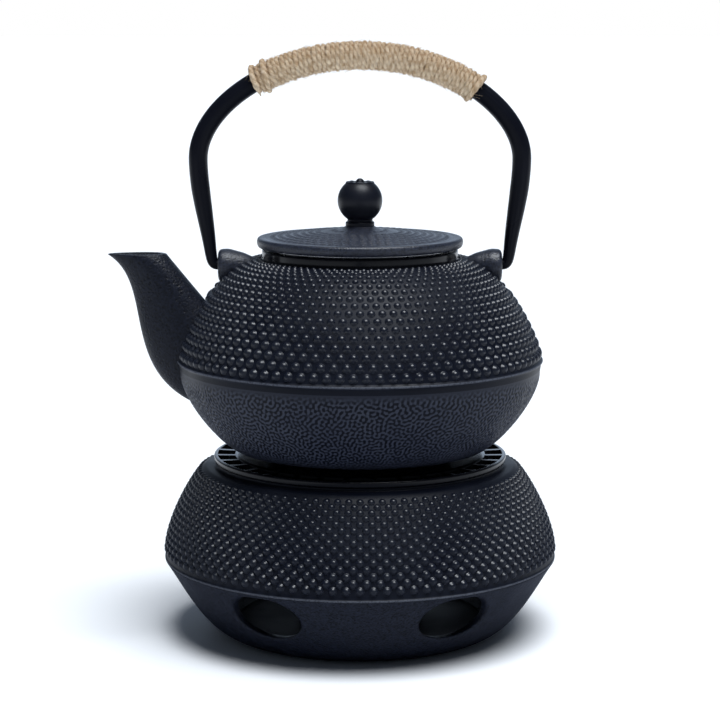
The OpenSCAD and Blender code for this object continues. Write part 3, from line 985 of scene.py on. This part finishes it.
@dataclass
class Lid:
    """The lid with its petal relief, skirt and knob.

    Attributes:
        field_r: the radii between which the petals lie.
        ring_width: the width of a ring of petals.
        petal: a petal's length round the ring.
        petal_height: how far it stands up.
    """

    field_r: tuple[float, float] = (11.0, 43.5)
    ring_width: float = 3.6
    petal: float = 3.9
    petal_height: float = 0.5

    def petals(self, r: Array, turn: Array) -> Array:
        """Rings of small petals: in each ring a sine bump across it times a rounded wave round it."""
        inner, outer = self.field_r
        ring = np.floor((r - inner) / self.ring_width)
        count = np.round(TAU * (inner + (ring + 0.5) * self.ring_width) / self.petal)
        across = np.sin(math.pi * ((r - inner) / self.ring_width - ring))
        around = np.abs(np.cos(count * turn / 2 + ring * 1.3)) ** 0.7
        return np.where((r > inner) & (r < outer), self.petal_height * across * around, 0)

    def plate(self) -> Shell:
        """The plate from the pedestal over the field and rim bead, then underneath, skirt and all."""
        flare = soften([(6.4, 197.3), (8.2, 196.2), (12.5, 194.9), (18, 194.5)], 3.0)[:-1]
        top = np.vstack([flare, cubic([(18, 194.5), (27, 193.9), (35, 192.8), (45.2, 191.5)], 124)])
        edge = soften([(45.6, 191.6), (47.0, 191.9), (49.0, 191.6), (49.5, 189.4), (48.8, 187.2),
                       (46.8, 187.0), (37.8, 187.0), (37.6, 182.6), (35.1, 182.5), (34.9, 187.6),
                       (27, 189), (20, 190.8), (2.2, 190.8), (2.2, 194.6), (6.2, 196.6)], 1.2, 5)
        return turned(np.vstack([top, edge]), 480, self.petals, slice(len(top)))

    def knob(self) -> Shell:
        """Foot, waist and ball, with a scalloped crown and a small nub."""
        ball_r, ball_z = 10.7, 209.2
        ball = [(ball_r * math.cos(t), ball_z + ball_r * math.sin(t)) for t in np.linspace(-0.965, 0.87, 44)]
        foot = soften([(3.0, 194.7), (6.3, 196.0), (6.9, 197.0), (6.9, 198.9), (6.0, 199.4),
                       (6.0, 200.3)], 0.5)
        crown = soften([(6.9, 217.4), (6.6, 218.2), (5.4, 218.3), (4.4, 217.8), (2.3, 217.7), (1.7, 219.0),
                        (0.9, 219.7), (0, 219.8)], 0.5)

        def scallops(r: Array, turn: Array) -> Array:
            """Eight shallow petals pressed into the crown."""
            return 0.22 * np.cos(8 * turn) * np.exp(-(((r - 5.2) / 1.4) ** 2))

        line = np.vstack([[(0, 194.7)], foot, ball, crown])
        return turned(line, 160, scallops, slice(len(foot) + len(ball), None))

    def build(self) -> None:
        """Puts down plate and knob; the screw and washer keep the frame's own shape."""
        # The lid's finish is lighter in colour, painted light on its upward face.
        place("lid_casting", self.plate(), "lid", Finishes.lid, ["lid_plate"])
        place("lid_handle", self.knob(), "lid", Finishes.smooth, ["lid_knob"])


@dataclass
class Basket:
    """The tea basket: pressed rim, woven wall, woven floor and hoop.

    Attributes:
        wall_r: the cloth's radius.
        low_z: its bottom.
        high_z: its top, inside the rim.
        warp: how many upright wires.
        weft: how many level wires.
        wire: half a wire's thickness, corner to corner.
        wave: how far a wire waves each way.
        floor_r: the floor's radius.
        floor_z: its height.
        floor_wires: wires each way across it.
    """

    wall_r: float = 39.55
    low_z: float = 134.4
    high_z: float = 181.5
    warp: int = 124
    weft: int = 24
    wire: float = 0.22
    wave: float = 0.2
    floor_r: float = 39.3
    floor_z: float = 134.3
    floor_wires: int = 38

    def rim(self) -> Shell:
        """The flange on the pot's neck with the collar that hangs from it."""
        return turned(soften([(45.2, 186.25), (45.35, 186.6), (45.2, 186.98), (40.5, 186.98), (39.9, 186.2),
                              (39.85, 177.0), (40.6, 177.0), (40.7, 185.9), (41.2, 186.25)], 0.4), 192)

    def wires(self, path: Array, out: Array) -> Shell:
        """Square wires along paths.

        Args:
            path: middles (wires, points, 3).
            out: unit directions off the cloth, the same shape.

        Returns:
            The wires, their ends open inside the rim and hoop.
        """
        ahead = np.gradient(path, axis=1)
        ahead /= np.linalg.norm(ahead, axis=2, keepdims=True)
        side, a = np.cross(ahead, out), spokes(4).T
        ring = path[:, :, None] + self.wire * (np.cos(a) * side[:, :, None] + np.sin(a) * out[:, :, None])
        count, steps = path.shape[:2]
        base = (np.arange(count) * steps * 4)[:, None, None]
        faces = (base + grid_faces(steps, 4)[None]).reshape(-1, 4)
        return Shell(ring.reshape(-1, 3), [faces]).outward()

    def wall(self) -> Shell:
        """Upright wires over and under the level ones: each waves in and out by less than a wire."""
        step = (self.high_z - self.low_z) / self.weft
        z = np.linspace(self.low_z, self.high_z, self.weft * 2 + 1)[None]
        turn = spokes(self.warp).T
        sign = np.where(np.arange(self.warp) % 2, 1.0, -1.0)[:, None]
        wave = sign * self.wave * np.sin(math.pi * (z - self.low_z) / step + math.pi / 2)
        upright = round_axis(self.wall_r + wave, turn, z)
        a = (np.arange(self.warp * 2 + 1) * TAU / (self.warp * 2))[None]
        level_z = (self.low_z + step * (np.arange(self.weft) + 0.5))[:, None]
        flip = np.where(np.arange(self.weft) % 2, 1.0, -1.0)[:, None]
        level = round_axis(self.wall_r + flip * self.wave * np.cos(a * self.warp / 2), a, level_z)
        one, low = np.ones_like, np.zeros_like
        return (self.wires(upright, round_axis(one(wave), turn, low(wave)))
                + self.wires(level, round_axis(one(level[..., 0]), a, low(level[..., 0]))))

    def floor(self) -> Shell:
        """Straight wires both ways, cut to the circle, waving up and down past each other."""
        at = np.linspace(-38.2, 38.2, self.floor_wires)[:, None]
        run = np.linspace(-1, 1, 61)[None] * np.sqrt(self.floor_r**2 - at**2)
        sign = np.where(np.arange(self.floor_wires) % 2, 1.0, -1.0)[:, None]
        wave = sign * self.wave * np.cos(math.pi * (run - at[0, 0]) / (at[1, 0] - at[0, 0]))
        up = np.zeros((*run.shape, 3)) + [0, 0, 1.0]
        one = np.stack([at + 0 * run, run, self.floor_z + wave], -1)
        two = np.stack([run, at + 0 * run, self.floor_z - wave], -1)
        return self.wires(one, up) + self.wires(two, up)

    def build(self) -> None:
        """Puts down rim, wall, floor and hoop."""
        place("basket_rim", self.rim(), "basket", Finishes.steel, ["infuser_rim"])
        place("basket_mesh", self.wall(), "basket", Finishes.steel, ["infuser_wall"], crease=180)
        place("basket_floor", self.floor(), "basket", Finishes.steel, ["infuser_floor"], crease=180)
        hoop = soften([(40.4, 138.0), (40.4, 133.9), (39.9, 133.4), (36.2, 133.4), (36.2, 133.8),
                       (39.2, 133.95), (39.9, 134.6), (39.95, 138.0), (40.2, 138.4)], 0.4)
        place("basket_hoop", turned(hoop, 192), "basket", Finishes.steel, ["infuser_hoop"])


# ---------------------------------------------------------------- the bail


@dataclass
class Strand:
    """A wound strand: its surface, its rings, the directions off the bail, and its attributes.

    The attributes are strand (coordinates along it), groove (1 on a ply, 0 between) and inner (1
    on the underside of the bail), each with a last two values for the ends' middle points.
    """

    shell: Shell
    rings: Array
    out: Array
    looks: dict[str, Array]


@dataclass
class Bail:
    """The arched handle and its twine wrap.

    Attributes:
        thickness: places v along a half, from the hook to the top, and the bail's thickness there.
        hinge_z: the hooks' height.
        hook_x: how far out the hooks leave the ears.
        top_z: the height of the middle line's top.
        wide_x: its half width.
        wrap: where the wrap ends, as u, which runs from -3 to 3.
        strand: the step from turn to turn.
        plies_step: the strand's length in which its plies turn once.
        seed: the loose fibres' seed.
    """

    thickness: ClassVar[Sequence] = [(0, 5), (0.6, 5.4), (1, 5.9), (1.27, 7.3), (1.45, 8.2), (1.65, 8.9),
                                     (2.3, 9.2), (3, 9.2)]

    hinge_z: float = 178.5
    hook_x: float = 68.3
    top_z: float = 277.9
    wide_x: float = 77.1
    wrap: tuple[float, float] = (-0.44, 0.51)
    strand: float = 2.15
    plies_step: float = 7.5
    seed: int = 7

    def half_line(self) -> tuple[Array, Array]:
        """One half's middle line (x, z) from the hook up, and its place v from 0 to 3."""
        x, z, w, t = self.hook_x, self.hinge_z, self.wide_x, self.top_z
        hook = cubic([(x, z), (x + 2.7, z), (x + 2.9, z + 3), (x + 3.5, z + 7.5)], 40)
        leg = cubic([(x + 3.5, z + 7.5), (x + 5.2, z + 22), (w, z + 37), (w, z + 50.5)], 60)
        crown = cubic([(w, z + 50.5), (w, z + 73.5), (w - 33, t), (0, t)], 90)
        v = np.concatenate([np.linspace(0, 1, 40), np.linspace(1, 2, 60)[1:], np.linspace(2, 3, 90)[1:]])
        return np.vstack([hook, leg[1:], crown[1:]]), v

    def whole_line(self) -> tuple[Array, Array, Array]:
        """The whole middle line from +X to -X, its place u, and its half thickness."""
        half, v = self.half_line()
        line = np.vstack([half, half[-2::-1] * [-1, 1]])
        u = np.concatenate([3 - v, (v - 3)[-2::-1]])
        return line, u, np.interp(3 - np.abs(u), *zip(*self.thickness)) / 2

    @staticmethod
    def across(line: Array) -> Array:
        """Unit normals of the middle line, in its own plane."""
        d = np.gradient(line, axis=0)
        return np.stack([-d[:, 1], d[:, 0]], 1) / np.linalg.norm(d, axis=1)[:, None]

    def rod(self) -> Shell:
        """The bail: oval rings along the line, a soft crease pressed along the front and back faces."""
        line, _, half = self.whole_line()
        n, a = self.across(line), spokes(56)
        crease = 1 - 0.055 * np.exp(-(((np.abs(np.sin(a)) - 0.93) / 0.05) ** 2)) * (np.cos(a) < 0)
        r = half[:, None] * crease
        x, z = (line[:, k : k + 1] + r * np.cos(a) * n[:, k : k + 1] for k in (0, 1))
        return skin(np.stack([x, 1.12 * r * np.sin(a), z], -1))

    def pins(self) -> Shell:
        """The hooks' straight ends in the ears."""
        out = None
        for side in (1, -1):
            line = soften([(59.7, 0), (59.7, 2.4), (68.0, 2.4), (69.2, 2.3), (69.2, 0)], 0.4)[1:-1]
            a = spokes(32)
            rings = np.stack([side * line[:, :1] + 0 * a, line[:, 1:] * np.cos(a) * side,
                              self.hinge_z + line[:, 1:] * np.sin(a)], -1)
            pin = skin(rings)
            out = pin if out is None else out + pin
        return out

    def coil(self, start: float, end: float, turns: float, lift: float, phase: float = 0.0) -> Strand:
        """A twisted two-ply strand wound round the bail.

        The strand's middle circles the oval bail while it advances from start to end. Its section
        is an oval with two lobes that turn along the strand, so the plies show.

        Args:
            start: where it begins, as u.
            end: where it ends.
            turns: how many turns it makes.
            lift: extra distance off the bail.
            phase: the angle it starts at.

        Returns:
            The strand.
        """
        line, u, half = self.whole_line()
        run = lengths(line)
        ends = np.interp([-start, -end], -u, run)
        steps = int(turns * 44)
        w = np.linspace(0, 1, steps)
        angle = phase + TAU * turns * w
        uneven = ((0.3, 0.05, 1.1), (0.12, 0.31, 0), (0.12, 2.3, 2))
        at = ends[0] + (ends[1] - ends[0]) * w + sum(h * np.sin(angle * f + p) for h, f, p in uneven)
        middle, n = along(line, at), np.stack([np.interp(at, run, c) for c in self.across(line).T], -1)
        thick = np.interp(at, run, half)
        swell = 1 + 0.06 * np.sin(angle * 0.61) + 0.05 * np.sin(angle * 1.7 + 0.7)
        off = thick + 1.02 * swell + lift
        deep = 1.12 * thick + 1.02 * swell + lift
        c, s = np.cos(angle), np.sin(angle)
        path = np.stack([middle[:, 0] + off * c * n[:, 0], deep * s, middle[:, 1] + off * c * n[:, 1]], 1)
        out = np.stack([c * n[:, 0], s, c * n[:, 1]], 1)
        ahead = np.gradient(path, axis=0)
        travel = np.concatenate([[0], np.cumsum(np.linalg.norm(np.diff(path, axis=0), axis=1))])
        ahead /= np.linalg.norm(ahead, axis=1)[:, None]
        side = np.cross(ahead, out)
        side /= np.linalg.norm(side, axis=1)[:, None]
        psi = spokes(16)
        twist = travel[:, None] * TAU / self.plies_step
        lobes = np.cos(2 * (psi - twist))
        r = (1 + 0.1 * lobes) * swell[:, None]
        wide, tall = self.strand * 0.57, 1.16
        taper = np.clip(np.minimum(np.arange(steps), np.arange(steps)[::-1]) / 6, 0.25, 1)[:, None]
        ring = path[:, None] + (r * taper)[..., None] * (
            wide * np.cos(psi)[..., None] * side[:, None] + tall * np.sin(psi)[..., None] * out[:, None])
        where = np.stack([np.cos(psi - twist), np.sin(psi - twist), travel[:, None] * 0.09 + 0 * psi], -1)
        looks = {"strand": np.vstack([where.reshape(-1, 3), np.zeros((2, 3))]),
                 "groove": np.concatenate([((lobes + 1) / 2).ravel(), [0.5, 0.5]]),
                 "inner": np.concatenate([np.repeat((1 - c) / 2, 16), [0.5, 0.5]])}
        return Strand(skin(ring), ring, out, looks)

    def fibres(self, wound: Strand, count: int) -> Shell:
        """Loose hairs: thin three-sided tubes that leave the strand's outer face and curl away.

        A hair's path is its root plus a parabola: along its own direction by its length, and off
        the wrap by the square of the share travelled.

        Args:
            wound: the strand they grow from.
            count: how many there are.

        Returns:
            The hairs, their ends open.
        """
        rng = np.random.default_rng(self.seed)
        pick = rng.integers(8, len(wound.rings) - 8, count)
        root = wound.rings[pick, rng.integers(1, 8, count)]
        normal = wound.out[pick]
        stray = rng.normal(size=(count, 3))
        stray -= (stray * normal).sum(1, keepdims=True) * normal
        stray /= np.linalg.norm(stray, axis=1, keepdims=True)
        length = rng.uniform(1.2, 4.2, (count, 1, 1))
        t = np.linspace(0, 1, 6)[None, :, None]
        rise = rng.uniform(0.05, 0.55, (count, 1, 1))
        curl = rng.normal(size=(count, 1, 3)) * 0.25
        off = rise * (t - 0.35 * t * t) * normal[:, None]
        path = root[:, None] + length * (t * stray[:, None] + off + curl * t * t)
        ahead = np.gradient(path, axis=1)
        one = np.cross(ahead, normal[:, None])
        one /= np.linalg.norm(one, axis=2, keepdims=True)
        two = np.cross(one, ahead)
        two /= np.linalg.norm(two, axis=2, keepdims=True)
        a = spokes(3).T
        thin = (0.055 * (1 - 0.7 * t))[:, :, None]
        tube = path[:, :, None] + thin * (np.cos(a) * one[:, :, None] + np.sin(a) * two[:, :, None])
        base = (np.arange(count) * 18)[:, None, None]
        return Shell(tube.reshape(-1, 3), [(base + grid_faces(6, 3)[None]).reshape(-1, 4)])

    def build(self) -> None:
        """Puts down rod, pins, wrap, crossing strand and loose fibres."""
        place("bail_rod", self.rod(), "bail", Finishes.bail, ["bail"])
        place("bail_pins", self.pins(), "bail", Finishes.bail)
        line, u, _ = self.whole_line()
        span = np.diff(np.interp([-self.wrap[1], -self.wrap[0]], -u, lengths(line)))[0]
        turns = round(span / self.strand)
        wound = self.coil(self.wrap[1], self.wrap[0], turns, 0.0)
        parts = {"wrap_coil": (wound, ["handle_wrap"]),
                 "wrap_crossing": (self.coil(-0.36, -0.445, 1.6, 1.5, 2.2), []),
                 "wrap_tuck": (self.coil(0.515, 0.48, 1.3, 1.2, 0.6), [])}
        for name, (strand, nodes) in parts.items():
            place(name, strand.shell, "bail", Finishes.twine, nodes, 180, **strand.looks)
        hair = self.fibres(wound, 5200)
        count = len(hair.points)
        place("wrap_fibres", hair, "bail", Finishes.twine, [], 180,
              strand=hair.points * 0.3, groove=np.ones(count), inner=np.zeros(count))


# ---------------------------------------------------------------- the studio


@dataclass
class Studio:
    """Pale floor, bright room, overhead light and the camera; places in metres, angles in degrees."""

    camera_at: tuple[float, float, float] = (0.0, -1.0505, 0.2965)
    pitch: float = 8.9
    lens: float = 110.0
    sun: float = 3.9
    sun_width: float = 40.0
    sun_lean: tuple[float, float] = (11.0, 9.0)
    sun_colour: tuple[float, float, float] = (0.92, 0.96, 1.0)
    room_tint: tuple[float, float, float] = (0.66, 0.8, 1.0)
    floor_colour: tuple[float, float, float] = (0.95, 0.96, 0.98)
    # The colour the floor shows in reflections near the object: a painted shade.
    floor_mirrored: tuple[float, float, float] = (0.2, 0.22, 0.28)
    floor_half: float = 30.0

    def world(self) -> bpy.types.World:
        """A white room, bright behind the object and dim on the near side."""
        world = bpy.data.worlds.new("studio")
        world.use_nodes = True
        bench = NodeBench(world.node_tree)
        way = bench.add("SeparateXYZ", {0: bench.add("TexCoord").outputs["Generated"]})
        behind = bench.ramp(way.outputs["Y"], 0.25, 0.97)
        above = bench.ramp(way.outputs["Z"], 0.22, 0.6, 1.0, 0.35)
        beside = bench.math("MULTIPLY", bench.ramp(way.outputs["X"], -0.5, 0.0, 0.12, 1.0),
                            bench.ramp(way.outputs["X"], 0.05, 0.55, 1.0, 0.2))
        wide = bench.math("MULTIPLY", above, beside)
        glow = bench.math("MULTIPLY_ADD", wide, bench.math("MULTIPLY", behind, 1.15), 0.08)
        seen = bench.add("LightPath").outputs["Is Camera Ray"]
        strength = bench.ramp(seen, 0.0, 1.0, glow, 1.0)
        colour = bench.mix(seen, (*self.room_tint, 1), (1, 1, 1, 1))
        room = bench.add("Background", {0: colour, 1: strength})
        bench.add("OutputWorld", {"Surface": room.outputs[0]})
        return world

    def floor(self) -> bpy.types.Object:
        """The pale floor, with painted shade near the object where something glossy mirrors it."""
        far = self.floor_half
        mesh = bpy.data.meshes.new("floor")
        mesh.from_pydata([(-far, -far, 0), (far, -far, 0), (far, far, 0), (-far, far, 0)], [], [(0, 1, 2, 3)])
        paint = bpy.data.materials.new("pale floor")
        paint.use_nodes = True
        bench = NodeBench(paint.node_tree)
        spot = bench.add("SeparateXYZ", {0: bench.object_place()})
        # Painted shade: in reflections, the floor near the object takes the dark colour.
        near = bench.math("MULTIPLY", bench.ramp(spot.outputs["Y"], 0.0, 0.3, 1.0, 0.2),
                          bench.ramp(bench.math("ABSOLUTE", spot.outputs["X"]), 0.1, 0.3, 1.0, 0.45))
        mirrored_shade = bench.math("MULTIPLY", bench.add("LightPath").outputs["Is Glossy Ray"], near)
        colour = bench.mix(mirrored_shade, (*self.floor_colour, 1), (*self.floor_mirrored, 1))
        inputs = {"Base Color": colour, "Roughness": 0.7, "Specular IOR Level": 0.1}
        bench.add("OutputMaterial", {"Surface": bench.add("BsdfPrincipled", inputs).outputs[0]})
        mesh.materials.append(paint)
        return self.hang("floor", mesh, (0, 0, 0))

    @staticmethod
    def hang(name: str, data: bpy.types.ID, lean: Sequence[float]) -> bpy.types.Object:
        """Puts a mesh, light or camera in the scene, turned by angles in degrees."""
        made = bpy.data.objects.new(name, data)
        made.rotation_euler = [math.radians(angle) for angle in lean]
        bpy.context.scene.collection.objects.link(made)
        return made

    def build(self) -> None:
        """Sets floor, world, light and camera."""
        scene = bpy.context.scene
        scene.view_settings.view_transform = "Standard"
        self.floor()
        scene.world = self.world()
        light = bpy.data.lights.new("overhead", "SUN")
        light.energy, light.angle, light.color = self.sun, math.radians(self.sun_width), self.sun_colour
        self.hang("overhead", light, (*self.sun_lean, 0))
        lens = bpy.data.cameras.new("camera")
        lens.lens, lens.sensor_width, lens.clip_end = self.lens, 36.0, 200.0
        scene.camera = self.hang("camera", lens, (90 - self.pitch, 0, 0))
        scene.camera.location = self.camera_at


def corners(box: Sequence) -> list[list[float]]:
    """A box's two corners as plain lists."""
    return [[float(v) for v in corner] for corner in box]


def main() -> None:
    """Builds every sub-assembly on the frame, then the studio."""
    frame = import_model()
    for maker in (Warmer(), Candle(), Trivet(), Pot(), Basket(), Lid(), Bail(), Studio()):
        log.info("building %s", type(maker).__name__)
        maker.build()
    for node in ("knob_screw", "knob_washer"):
        mesh = frame["nodes"][node].data
        mesh.materials.clear()
        mesh.materials.append(Finishes.steel.material())


if __name__ == "__main__":
    logging.basicConfig(level=logging.INFO, format="%(message)s")
    main()
